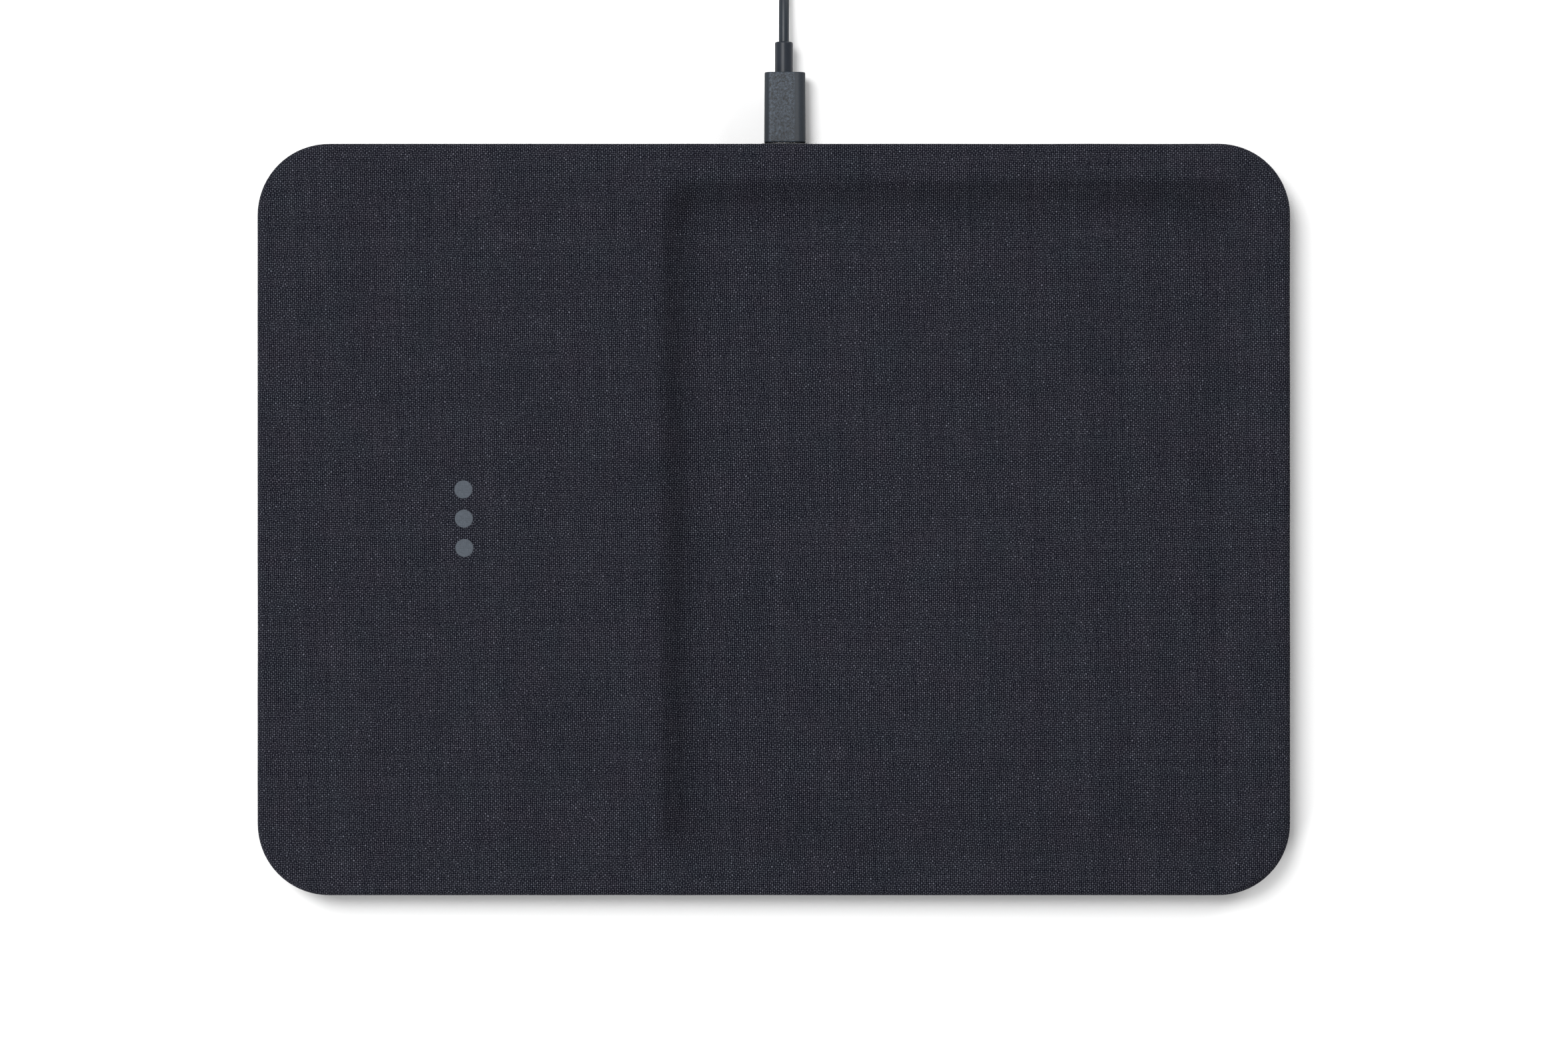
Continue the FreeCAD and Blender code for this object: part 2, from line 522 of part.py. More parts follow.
def band(grow, low, high, a0, span):
    """A length of the bundle's section, wider by grow on each side, between two heights."""
    w = rr_wire(COIL_IN - grow, COIL_OUT + grow, low, high, 2.6 + grow, 0)
    w.rotate(V(0, 0, 0), V(1, 0, 0), 90)
    w.translate(V(COIL_X, COIL_Y, 0))
    f = Part.Face(w)
    f.rotate(V(COIL_X, COIL_Y, 0), V(0, 0, 1), a0)
    s = f.revolve(V(COIL_X, COIL_Y, 0), V(0, 0, 1), span)
    if s.Volume < 0:
        s.reverse()
    return s


strap = band(TIE_OUT, 0.0, COIL_Z1 + TIE_TOP, TIE_A0, TIE_SPAN)
hole = band(TIE_OUT - TIE_T, TIE_T, COIL_Z1 + TIE_TOP - TIE_T, TIE_A0 - 5, TIE_SPAN + 10)
tie = strap.cut(hole)
coil = coil.cut(tie)
put("cable_coil", coil)
put("cable_tie", tie)

# the far end: a USB-A plug lying beside the coil
A_AT = V(-73.5, 172.6, 3.9)        # rear of its sleeve
A_TURN = 198.0                     # heading, in degrees from +X
ah = math.radians(A_TURN)
TAIL_ROUTE = [
    (-13.4, 184.0, 9.05),
    (-22.4, 184.4, 9.05),
    (-33.2, 183.4, 7.0),
    (-44.0, 180.6, 3.3),
    (-54.4, 177.6, 1.55),
    (A_AT.x - 9.0 * math.cos(ah), A_AT.y - 9.0 * math.sin(ah), A_AT.z),
    (A_AT.x, A_AT.y, A_AT.z),
]
put("cable_tail", tube(TAIL_ROUTE, CORD_D, "cable tail"))


def place(shape):
    """From the plug's own frame, +X to its tip, to where it lies."""
    s = shape.copy()
    s.rotate(V(0, 0, 0), V(0, 0, 1), A_TURN)
    s.translate(A_AT)
    return s


def rr_wire_x(x, w, h, r, zc_=0.0):
    wire = rr_wire(-w / 2, w / 2, -h / 2, h / 2, r, 0)
    wire.rotate(V(0, 0, 0), V(1, 0, 0), 90)      # into the XZ plane
    wire.rotate(V(0, 0, 0), V(0, 0, 1), 90)      # into the YZ plane
    wire.translate(V(x, 0, zc_))
    return wire


def prism_x(x0, x1, w, h, r, zc_=0.0):
    s = Part.Face(rr_wire_x(x0, w, h, r, zc_)).extrude(V(x1 - x0, 0, 0))
    if s.Volume < 0:
        s.reverse()
    return s


SL, OL, ML = 7.8, 22.0, 12.5
sleeve_a = Part.makeCylinder(4.55 / 2, SL, V(0, 0, 0), V(1, 0, 0))
sleeve_a = sleeve_a.makeFillet(0.4, edges_where(sleeve_a, lambda q, e: abs(q.XMax) < 1e-4))
put("plug_a_sleeve", place(sleeve_a))
over_a = Part.makeLoft([rr_wire_x(SL, 15.2, 7.6, 2.3), rr_wire_x(SL + OL, 15.6, 7.8, 2.3)], True, True)
if over_a.Volume < 0:
    over_a.reverse()
over_a = over_a.makeFillet(0.35, edges_where(over_a, lambda q, e: q.XMax - q.XMin < 1e-4))
metal = prism_x(SL + OL - 4.0, SL + OL + ML, 12.0, 4.5, 0.55)
over_a = over_a.cut(metal)
put("plug_a_overmould", place(over_a))
shell_a = metal.cut(prism_x(SL + OL - 5.0, SL + OL + ML + 1, 11.4, 3.9, 0.3))
x_w = SL + OL + ML - 6.2
for y in (-3.0, 3.0):
    shell_a = shell_a.cut(box(x_w, x_w + 2.2, y - 1.1, y + 1.1, -3.0, 3.0).cut(prism_x(0, 60, 11.4, 3.9, 0.3)))
put("plug_a_shell", place(shell_a))
ins_a = prism_x(SL + OL - 4.0, SL + OL + ML - 0.3, 11.36, 1.88, 0.28, -1.0)
pins_a = []
for k, y in enumerate((-3.5, -1.0, 1.0, 3.5)):
    back = 7.4 if k in (0, 3) else 6.4
    pins_a.append(box(SL + OL + ML - 1.2 - back, SL + OL + ML - 1.2, y - 0.5, y + 0.5, -0.2, -0.06))
for c in pins_a:
    ins_a = ins_a.cut(c)
put("plug_a_insulator", place(ins_a))
put("plug_a_contacts", place(Part.makeCompound(pins_a)))

print("nodes", len(made))
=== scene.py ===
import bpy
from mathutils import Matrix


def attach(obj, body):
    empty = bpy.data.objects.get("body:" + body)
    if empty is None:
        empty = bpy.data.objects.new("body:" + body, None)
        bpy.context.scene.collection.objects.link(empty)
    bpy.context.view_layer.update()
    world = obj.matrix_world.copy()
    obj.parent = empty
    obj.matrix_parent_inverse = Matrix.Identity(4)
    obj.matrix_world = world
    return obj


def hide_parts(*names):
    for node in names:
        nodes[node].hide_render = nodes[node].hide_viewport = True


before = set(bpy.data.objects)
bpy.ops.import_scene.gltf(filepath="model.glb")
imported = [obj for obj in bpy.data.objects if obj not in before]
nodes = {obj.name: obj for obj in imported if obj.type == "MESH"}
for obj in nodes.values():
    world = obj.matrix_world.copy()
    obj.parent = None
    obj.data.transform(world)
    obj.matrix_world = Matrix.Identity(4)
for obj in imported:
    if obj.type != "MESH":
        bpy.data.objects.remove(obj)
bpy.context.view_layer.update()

import math

import bmesh
import bpy
import numpy as np
from mathutils import Vector

# Wireless charging pad with a tray, in linen.  Metres, in the CAD model's frame.
MM = 0.001
scene = bpy.context.scene
RNG = np.random.default_rng(11)

# sizes, in millimetres
PAD_X, PAD_Y, PAD_H = 260.0, 189.2, 15.0
CORNER_R, EDGE_R = 18.0, 2.0
LINEN_T, WRAP_Z, HEM_IN = 0.6, 1.6, 4.6
TRAY_X0, TRAY_X1, TRAY_Y, TRAY_R = -28.3, 121.0, 85.6, 9.0
TRAY_DEPTH, TRAY_DRAFT, TRAY_LIP_R, TRAY_FLOOR_R = 6.0, 6.5, 5.0, 6.0
CHARGE_X, DOT_D, DOT_PITCH = -77.9, 4.55, 7.35
PORT_X, PORT_Z = 2.8, 6.5
CORD_D = 2.6

# ------------------------------------------------------------------ camera
cam_data = bpy.data.cameras.new("camera")
cam = bpy.data.objects.new("camera", cam_data)
scene.collection.objects.link(cam)
scene.camera = cam
cam_data.sensor_width = 36.0
cam_data.lens = 100.0
cam_data.clip_start = 0.05
cam_data.clip_end = 50.0
cam.location = (2.57 * MM, -0.89 * MM, 1109.9 * MM)
cam.rotation_euler = (0.0, 0.0, 0.0)

# ------------------------------------------------------------------ the lead's own line
# out of the sleeve, down to the table, round the stowed turns, and on to the far plug
COIL_X, COIL_Y = -18.0, 165.0
COIL_COLS = [19.52, 16.90, 14.28, 11.68]
COIL_ROWS = [1.32, 3.94, 6.56, 9.16]
# which column and row each turn lies in, from the outside at the bottom
LAID = [(0, 0), (1, 0), (2, 0), (3, 0), (3, 1), (2, 1), (1, 1), (0, 1),
        (0, 2), (1, 2), (2, 2), (3, 2), (3, 3), (1, 3), (0, 3)]
CROSS_A, CROSS_B = 275.0, 335.0      # where a turn moves over to the next place
TIE_A, TIE_HALF = 220.0, 15.0
STEP = 20.0

lead_in = [(2.55, 120.9, 6.5), (2.55, 129.4, 6.5), (2.7, 139.6, 3.1), (2.5, 149.0, 1.5), (1.75, 157.2, 1.34)]
tail_out = [(-22.4, 184.4, 9.05), (-33.2, 183.4, 7.0), (-44.0, 180.6, 3.3), (-54.4, 177.6, 1.55)]
A_AT, A_TURN = (-73.5, 172.6, 3.9), math.radians(198.0)
tail_out.append((A_AT[0] - 9.0 * math.cos(A_TURN), A_AT[1] - 9.0 * math.sin(A_TURN), A_AT[2]))
tail_out.append(A_AT)


def smooth(a, b, x):
    t = min(1.0, max(0.0, (x - a) / (b - a)))
    return t * t * (3 - 2 * t)


turns = []
swell = 1.0 / (0.75 + 0.25 * math.cos(math.radians(STEP)))
wander = RNG.normal(0.0, 1.0, (len(LAID), 5))
count = int(round((14 * 360.0 + 66.0) / STEP)) + 1
for i in range(count):
    a = i * STEP
    k, th = int(a // 360.0), a % 360.0
    f = smooth(CROSS_A, CROSS_B, th)
    c0, r0 = LAID[k]
    c1, r1 = LAID[min(k + 1, len(LAID) - 1)]
    radius = COIL_COLS[c0] * (1 - f) + COIL_COLS[c1] * f
    z = COIL_ROWS[r0] * (1 - f) + COIL_ROWS[r1] * f
    w = wander[k]
    radius += 0.05 * (w[0] * math.sin(math.radians(th) + w[1]) + 0.6 * w[2] * math.sin(2 * math.radians(th) + w[3]))
    near = max(0.0, 1.0 - max(0.0, abs(th - TIE_A) - TIE_HALF) / 55.0)
    near = near * near * (3 - 2 * near)
    z += 0.6 * near * (1.0 - 0.02 * z)
    ang = math.radians(a)
    turns.append((COIL_X + radius * swell * math.cos(ang), COIL_Y + radius * swell * math.sin(ang), z))
turns[0] = (COIL_X + 19.55, COIL_Y, 1.34)

route = lead_in + turns + tail_out
curve = bpy.data.curves.new("lead_cable", "CURVE")
curve.dimensions = "3D"
spline = curve.splines.new("NURBS")
spline.points.add(len(route) - 1)
for p, (x, y, z) in zip(spline.points, route):
    p.co = (x * MM, y * MM, z * MM, 1.0)
    p.radius = CORD_D / 2 * MM
spline.order_u = 3
spline.use_endpoint_u = True
spline.resolution_u = 6
curve.bevel_depth = 1.0                 # times each point's radius, which is half the cable's diameter
curve.bevel_resolution = 7
curve.use_fill_caps = True
cable = bpy.data.objects.new("lead_cable", curve)
scene.collection.objects.link(cable)
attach(cable, "lead")
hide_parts("cable_lead", "cable_coil", "cable_tail")


# ------------------------------------------------------------------ shader arithmetic
class Tree:
    """Writes shader arithmetic as plain expressions."""

    def __init__(self, mat):
        self.nt = mat.node_tree

    def node(self, kind, **kw):
        n = self.nt.nodes.new(kind)
        for k, v in kw.items():
            setattr(n, k, v)
        return n

    def link(self, a, b):
        self.nt.links.new(a, b)

    def put(self, value, socket):
        if isinstance(value, Sock):
            self.link(value.s, socket)
        else:
            socket.default_value = value

    def math(self, op, *args, clamp=False):
        n = self.node("ShaderNodeMath", operation=op, use_clamp=clamp)
        for i, a in enumerate(args):
            self.put(a, n.inputs[i])
        return Sock(self, n.outputs[0])

    def noise(self, vec, scale, detail=2.0, rough=0.5, dims="3D", w=None):
        n = self.node("ShaderNodeTexNoise", noise_dimensions=dims)
        if vec is not None:
            self.put(vec, n.inputs["Vector"])
        if w is not None:
            self.put(w, n.inputs["W"])
        n.inputs["Scale"].default_value = scale
        n.inputs["Detail"].default_value = detail
        n.inputs["Roughness"].default_value = rough
        return Sock(self, n.outputs["Fac"])

    def white(self, vec):
        n = self.node("ShaderNodeTexWhiteNoise", noise_dimensions="3D")
        self.put(vec, n.inputs["Vector"])
        return Sock(self, n.outputs["Value"])

    def vec(self, x, y, z=0.0):
        n = self.node("ShaderNodeCombineXYZ")
        for i, a in enumerate((x, y, z)):
            self.put(a, n.inputs[i])
        return Sock(self, n.outputs[0])

    def split(self, vec):
        n = self.node("ShaderNodeSeparateXYZ")
        self.put(vec, n.inputs[0])
        return [Sock(self, o) for o in n.outputs]

    def mix(self, fac, a, b):
        n = self.node("ShaderNodeMix", data_type="FLOAT")
        for v, i in ((fac, 0), (a, 2), (b, 3)):
            self.put(v, n.inputs[i])
        return Sock(self, n.outputs[0])

    def colour(self, fac, a, b, blend="MIX"):
        n = self.node("ShaderNodeMix", data_type="RGBA", blend_type=blend)
        self.put(fac, n.inputs[0])
        for v, i in ((a, 6), (b, 7)):
            if isinstance(v, Sock):
                self.link(v.s, n.inputs[i])
            else:
                n.inputs[i].default_value = (*v[:3], 1.0)
        return Sock(self, n.outputs[2])

    def scale_colour(self, col, fac):
        """A colour times a number that varies over the surface."""
        n = self.node("ShaderNodeVectorMath", operation="SCALE")
        if isinstance(col, Sock):
            self.link(col.s, n.inputs[0])
        else:
            n.inputs[0].default_value = col[:3]
        self.put(fac, n.inputs["Scale"])
        return Sock(self, n.outputs[0])

    def step(self, x, a, b):
        n = self.node("ShaderNodeMapRange", interpolation_type="SMOOTHSTEP")
        self.put(x, n.inputs["Value"])
        n.inputs["From Min"].default_value = a
        n.inputs["From Max"].default_value = b
        return Sock(self, n.outputs["Result"])

    def coords(self, kind="Object"):
        return Sock(self, self.node("ShaderNodeTexCoord").outputs[kind])

    def attribute(self, name):
        return Sock(self, self.node("ShaderNodeAttribute", attribute_name=name).outputs["Vector"])

    def bump(self, height, strength, distance, normal=None):
        n = self.node("ShaderNodeBump")
        n.inputs["Strength"].default_value = strength
        n.inputs["Distance"].default_value = distance
        self.put(height, n.inputs["Height"])
        if normal is not None:
            self.link(normal.s, n.inputs["Normal"])
        return Sock(self, n.outputs[0])


class Sock:
    def __init__(self, tree, s):
        self.t, self.s = tree, s

    def __add__(self, o):
        return self.t.math("ADD", self, o)

    __radd__ = __add__

    def __mul__(self, o):
        return self.t.math("MULTIPLY", self, o)

    __rmul__ = __mul__

    def __sub__(self, o):
        return self.t.math("SUBTRACT", self, o)

    def __rsub__(self, o):
        return self.t.math("SUBTRACT", o, self)

    def __truediv__(self, o):
        return self.t.math("DIVIDE", self, o)

    def __neg__(self):
        return self.t.math("MULTIPLY", self, -1.0)

    def floor(self):
        return self.t.math("FLOOR", self)

    def abs(self):
        return self.t.math("ABSOLUTE", self)

    def cos(self):
        return self.t.math("COSINE", self)

    def sqrt(self):
        return self.t.math("SQRT", self)

    def max(self, o):
        return self.t.math("MAXIMUM", self, o)

    def min(self, o):
        return self.t.math("MINIMUM", self, o)

    def pow(self, o):
        return self.t.math("POWER", self, o)

    def mod(self, o):
        return self.t.math("FLOORED_MODULO", self, o)

    def gt(self, o):
        return self.t.math("GREATER_THAN", self, o)


def material(name):
    mat = bpy.data.materials.new(name)
    mat.use_nodes = True
    bsdf = mat.node_tree.nodes["Principled BSDF"]
    return mat, Tree(mat), bsdf


def wear(obj, mat):
    """Gives a piece this one material."""
    data = obj.data
    if len(obj.material_slots) == 0:
        data.materials.append(mat)
    for s in obj.material_slots:
        s.material = mat


# ------------------------------------------------------------------ linen
WARP, WEFT = 0.5055, 0.4680          # yarn spacing in millimetres


def linen_weave(t, cloth):
    """Plain weave over the cloth's own coordinates, in millimetres.
    Gives the height of the top yarn, 0 in the holes and 1 on the crowns, whether that is a warp yarn, and random
    numbers that belong to the yarn and to the crown."""
    cx, cy, _ = t.split(cloth)
    swap = t.vec(cy, cx, 37.0)
    drift, drift_b = t.noise(cloth, 0.05, 1.0), t.noise(swap, 0.05, 1.0)
    small, small_b = t.noise(cloth, 0.9, 1.0), t.noise(swap, 0.9, 1.0)
    u = (cx + cy * 0.021) * (1.0 / WARP) + (drift - 0.5) * 1.1 + (small - 0.5) * 1.05 + 4000.0
    v = (cy - cx * 0.012) * (1.0 / WEFT) + (drift_b - 0.5) * 1.1 + (small_b - 0.5) * 1.05 + 4000.0
    iu, iv = u.floor(), v.floor()
    fu, fv = u - iu - 0.5, v - iv - 0.5
    sign = 1.0 - (iu + iv).mod(2.0) * 2.0            # 1: warp on top, -1: weft on top
    yarn_w, yarn_f = t.white(t.vec(iu, 0.5, 4.5)), t.white(t.vec(0.5, iv, 9.5))
    # a yarn is thick and thin along its length
    slub_w = t.noise(t.vec(iu * 3.71, cy * 0.11, 1.3), 1.0, 1.0)
    slub_f = t.noise(t.vec(cx * 0.10, iv * 2.93, 8.9), 1.0, 1.0)
    half_w = 0.41 + (yarn_w - 0.5) * 0.06 + (slub_w - 0.5) * 0.16
    half_f = 0.27 + (yarn_f - 0.5) * 0.06 + (slub_f - 0.5) * 0.16
    pw = (1.0 - (fu / half_w) * (fu / half_w)).max(0.0).sqrt()
    pf = (1.0 - (fv / half_f) * (fv / half_f)).max(0.0).sqrt()
    hw = ((fv * math.pi).cos() * sign * 0.5 + 0.5) * pw
    hf = ((fu * math.pi).cos() * sign * -0.5 + 0.5) * pf
    warp_up = hw.gt(hf)
    yarn = t.mix(warp_up, yarn_f, yarn_w)
    crown = t.vec(iu + 0.5, iv + 0.5, 2.5)
    return hw.max(hf), warp_up, yarn, t.white(crown), t.white(t.vec(iu + 0.5, iv + 0.5, 77.5)), (cx, cy)


def linen_material():
    mat, t, bsdf = material("charcoal_linen")
    cloth = t.attribute("cloth")
    h, warp_up, yarn, crown, crown_b, (cx, cy) = linen_weave(t, cloth)
    fibre = t.noise(t.vec(cx, cy, 5.5), 9.0, 1.0)
    mottle = t.noise(cloth, 0.07, 3.0, 0.6)
    up = h.pow(1.37)
    # painted shade and highlight: the colour is near black in the holes between the yarns, where shade falls, and
    # lighter on the yarn crowns, a few crowns brighter still, as painted light on the weave
    value = 0.02 + up * 0.57
    value = value + t.step(up, 0.32, 1.0) * (1.40 + (crown - 0.5) + t.step(crown, 0.94, 1.0) * 1.2)
    value = value * (1.0 + (yarn - 0.5) * 0.10) * (0.76 + warp_up * 0.48)
    value = value * (1.0 + (crown_b - 0.5) * 0.08) * (1.0 + (fibre - 0.5) * 0.9)
    value = value * (1.0 + (mottle - 0.5) * 0.34)
    # two dye shades drift slowly over the cloth, one towards teal and one towards plum
    hue, hue_b = t.noise(cloth, 0.085, 3.0, 0.55), t.noise(t.vec(cy, cx, 61.0), 0.16, 2.0)
    red = (0.965 + (hue - 0.5) * 0.26) * value
    blue = (1.19 + (hue - 0.5) * 0.08 + (hue_b - 0.5) * 0.05) * value + 0.077
    tone = 0.0295
    col = t.vec(red * tone, value * tone, blue * tone)
    t.link(col.s, bsdf.inputs["Base Color"])
    bsdf.inputs["Roughness"].default_value = 0.95
    t.link((t.step(h, 0.2, 1.0) * 0.05).s, bsdf.inputs["Specular IOR Level"])     # only the crowns shine a little
    t.link(t.bump(h + fibre * 0.15, 0.45, 0.00010).s, bsdf.inputs["Normal"])
    return mat


LINEN = linen_material()


# ------------------------------------------------------------------ linen cover, as one wrapped surface
NX, NY, NC = 108, 74, 18      # segments along a long side, a short side and a corner


def loop(x0, x1, y0, y1, r):
    """A rounded rectangle as points, counter-clockwise from the start of its front side."""
    pts = []
    s = np.linspace(0, 1, NX, endpoint=False)
    pts += [(x0 + r + (x1 - x0 - 2 * r) * q, y0) for q in s]
    pts += [(x1 - r + r * math.sin(q), y0 + r - r * math.cos(q)) for q in np.linspace(0, math.pi / 2, NC, endpoint=False)]
    s = np.linspace(0, 1, NY, endpoint=False)
    pts += [(x1, y0 + r + (y1 - y0 - 2 * r) * q) for q in s]
    pts += [(x1 - r + r * math.cos(q), y1 - r + r * math.sin(q)) for q in np.linspace(0, math.pi / 2, NC, endpoint=False)]
    s = np.linspace(0, 1, NX, endpoint=False)
    pts += [(x1 - r - (x1 - x0 - 2 * r) * q, y1) for q in s]
    pts += [(x0 + r - r * math.sin(q), y1 - r + r * math.cos(q)) for q in np.linspace(0, math.pi / 2, NC, endpoint=False)]
    s = np.linspace(0, 1, NY, endpoint=False)
    pts += [(x0, y1 - r - (y1 - y0 - 2 * r) * q) for q in s]
    pts += [(x0 + r - r * math.cos(q), y0 + r - r * math.sin(q)) for q in np.linspace(0, math.pi / 2, NC, endpoint=False)]
    return np.array(pts)


def pad_loop(inset):
    return loop(-PAD_X / 2 + inset, PAD_X / 2 - inset, -PAD_Y / 2 + inset, PAD_Y / 2 - inset, CORNER_R - inset)


def tray_loop(inset):
    return loop(TRAY_X0 + inset, TRAY_X1 - inset, -TRAY_Y + inset, TRAY_Y - inset, TRAY_R - inset)


def arc_profile(cx, cz, r, a0, a1, n):
    """(inset, z) along an arc, in the plane across an edge."""
    return [(cx + r * math.cos(math.radians(a)), cz + r * math.sin(math.radians(a))) for a in np.linspace(a0, a1, n)]


def outer_profile():
    """(inset from the outline, z) from the hem under the base, up the side, to the flat top."""
    prof = [(HEM_IN, WRAP_Z), (2.8, WRAP_Z), (1.6, WRAP_Z)]
    prof += arc_profile(0.8, WRAP_Z + 0.8, 0.8, 270, 180, 6)
    prof += [(0.0, z) for z in np.linspace(WRAP_Z + 1.9, PAD_H - EDGE_R - 1.1, 8)]
    prof += arc_profile(EDGE_R, PAD_H - EDGE_R, EDGE_R, 180, 90, 10)
    return prof


def tray_profile():
    """(inset from the tray's mouth, z) over the lip, down the wall, and round into the floor."""
    slope = math.atan(TRAY_DRAFT / TRAY_DEPTH)
    turn = math.pi / 2 - slope
    lip = TRAY_LIP_R * math.tan(turn / 2)
    prof = [(-lip + TRAY_LIP_R * math.sin(q), PAD_H - TRAY_LIP_R * (1 - math.cos(q))) for q in np.linspace(0, turn, 8)]
    sweep = TRAY_FLOOR_R * math.tan(turn / 2)
    start = (TRAY_DRAFT - sweep * math.sin(slope), PAD_H - TRAY_DEPTH + sweep * math.cos(slope))
    prof.append(((prof[-1][0] + start[0]) / 2, (prof[-1][1] + start[1]) / 2))
    cx, cz = TRAY_DRAFT + sweep, PAD_H - TRAY_DEPTH + TRAY_FLOOR_R
    prof += arc_profile(cx, cz, TRAY_FLOOR_R, math.degrees(math.pi + slope), 270, 12)
    return prof


OUTER, TRAY = outer_profile(), tray_profile()


def build_linen():
    rings = [(pad_loop(inset), z) for inset, z in OUTER]
    inner, mouth = pad_loop(EDGE_R), tray_loop(TRAY[0][0])
    for f in (0.02, 0.05, 0.10, 0.16, 0.23, 0.30, 0.37, 0.44, 0.51, 0.58, 0.65, 0.72, 0.79, 0.86, 0.92, 0.965, 0.99):
        rings.append((inner * (1 - f) + mouth * f, PAD_H))
    rings += [(tray_loop(inset), z) for inset, z in TRAY]
    edge, mid = rings[-1][0], np.array([(TRAY_X0 + TRAY_X1) / 2, 0.0])
    for f in (0.02, 0.05, 0.09, 0.14, 0.20, 0.27, 0.35, 0.44, 0.54, 0.64, 0.74, 0.83, 0.90, 0.95, 0.98):
        rings.append((edge * (1 - f) + mid * f, PAD_H - TRAY_DEPTH))
    n = len(edge)
    V = np.vstack([np.column_stack([p, np.full(n, z)]) for p, z in rings] + [[mid[0], mid[1], PAD_H - TRAY_DEPTH]])
    faces = []
    for k in range(len(rings) - 1):
        a, b = k * n, (k + 1) * n
        faces += [(a + i, a + (i + 1) % n, b + (i + 1) % n, b + i) for i in range(n)]
    a = (len(rings) - 1) * n
    faces += [(a + i, a + (i + 1) % n, len(V) - 1) for i in range(n)]
    return V, faces


V, faces = build_linen()
# the cloth is laid by hand: the mouth and the outer roll wander by a tenth of a millimetre or so
def ripple(p, k, seed):
    r = np.random.default_rng(seed)
    out = np.zeros(len(p))
    for _ in range(9):
        d = r.normal(size=2)
        d /= np.linalg.norm(d)
        out += np.sin(p[:, :2] @ d * (k * (0.5 + r.random())) + r.random() * 6.28)
    return out / 3.0


flat_top = V[:, 2] > WRAP_Z + 1.0
lift = ripple(V, 0.16, 3) * 0.020 + ripple(V, 0.5, 4) * 0.008
V[:, 2] += np.where(flat_top, lift - 0.02, 0.0)
inward_push = ripple(V, 0.11, 5) * 0.03
side = (V[:, 2] > 3.0) & (V[:, 2] < 13.5) & ((np.abs(V[:, 0]) > 128.5) | (np.abs(V[:, 1]) > 93.1))
V[side, 0] -= np.sign(V[side, 0]) * np.abs(inward_push[side]) * (np.abs(V[side, 0]) > 120)
V[side, 1] -= np.sign(V[side, 1]) * np.abs(inward_push[side]) * (np.abs(V[side, 1]) > 85)

mesh = bpy.data.meshes.new("linen_wrap")
mesh.from_pydata([tuple(p * MM) for p in V], [], faces)
mesh.update()
bm = bmesh.new()
bm.from_mesh(mesh)
bmesh.ops.recalc_face_normals(bm, faces=bm.faces)
up = sum(f.normal.z * f.calc_area() for f in bm.faces)
if up < 0:
    bmesh.ops.reverse_faces(bm, faces=bm.faces)
bm.to_mesh(mesh)
bm.free()
mesh.shade_smooth()
linen = bpy.data.objects.new("linen_wrap", mesh)
scene.collection.objects.link(linen)


def stadium(name, w, h, xc, zc, y0, y1, n=18):
    """A rounded slot as a closed prism along Y, for cutting."""
    r = h / 2
    pts = [(xc + w / 2 - r + r * math.cos(a), zc + r * math.sin(a)) for a in np.linspace(-math.pi / 2, math.pi / 2, n)]
    pts += [(xc - w / 2 + r + r * math.cos(a), zc + r * math.sin(a)) for a in np.linspace(math.pi / 2, 1.5 * math.pi, n)]
    m = bpy.data.meshes.new(name)
    k = len(pts)
    m.from_pydata([(x * MM, y0 * MM, z * MM) for x, z in pts] + [(x * MM, y1 * MM, z * MM) for x, z in pts], [],
                  [tuple(range(k)), tuple(range(2 * k - 1, k - 1, -1))] + [(i, (i + k), (i + 1) % k + k, (i + 1) % k) for i in range(k)])
    b = bmesh.new()
    b.from_mesh(m)
    bmesh.ops.recalc_face_normals(b, faces=b.faces)
    b.to_mesh(m)
    b.free()
    o = bpy.data.objects.new(name, m)
    scene.collection.objects.link(o)
    return o


def apply_all(obj):
    """Bakes the modifiers into the mesh."""
    dg = bpy.context.evaluated_depsgraph_get()
    done = bpy.data.meshes.new_from_object(obj.evaluated_get(dg), preserve_all_data_layers=True, depsgraph=dg)
    obj.modifiers.clear()
    old = obj.data
    obj.data = done
    bpy.data.meshes.remove(old)


thick = linen.modifiers.new("thick", "SOLIDIFY")
thick.thickness = LINEN_T * MM
thick.offset = -1.0
cutters = [stadium("cut_port", 11.2, 5.4, PORT_X, PORT_Z, 91.0, 98.0),
           stadium("cut_pipe", 2.21, 2.2, CHARGE_X, 7.6, -98.0, -91.0)]
for c in cutters:
    b = linen.modifiers.new("cut", "BOOLEAN")
    b.operation = "DIFFERENCE"
    b.solver = "EXACT"
    b.object = c
apply_all(linen)
for c in cutters:
    m = c.data
    bpy.data.objects.remove(c)
    bpy.data.meshes.remove(m)
linen.data.name = "linen_wrap"


def path_excess(prof):
    """(z, cloth length less the sideways advance) down a profile of (inset, z)."""
    out, run = [], 0.0
    for k, (inset, z) in enumerate(prof):
        if k:
            run += math.hypot(inset - prof[k - 1][0], z - prof[k - 1][1])
        out.append((z, run - abs(inset - prof[0][0])))
    return np.array(out)


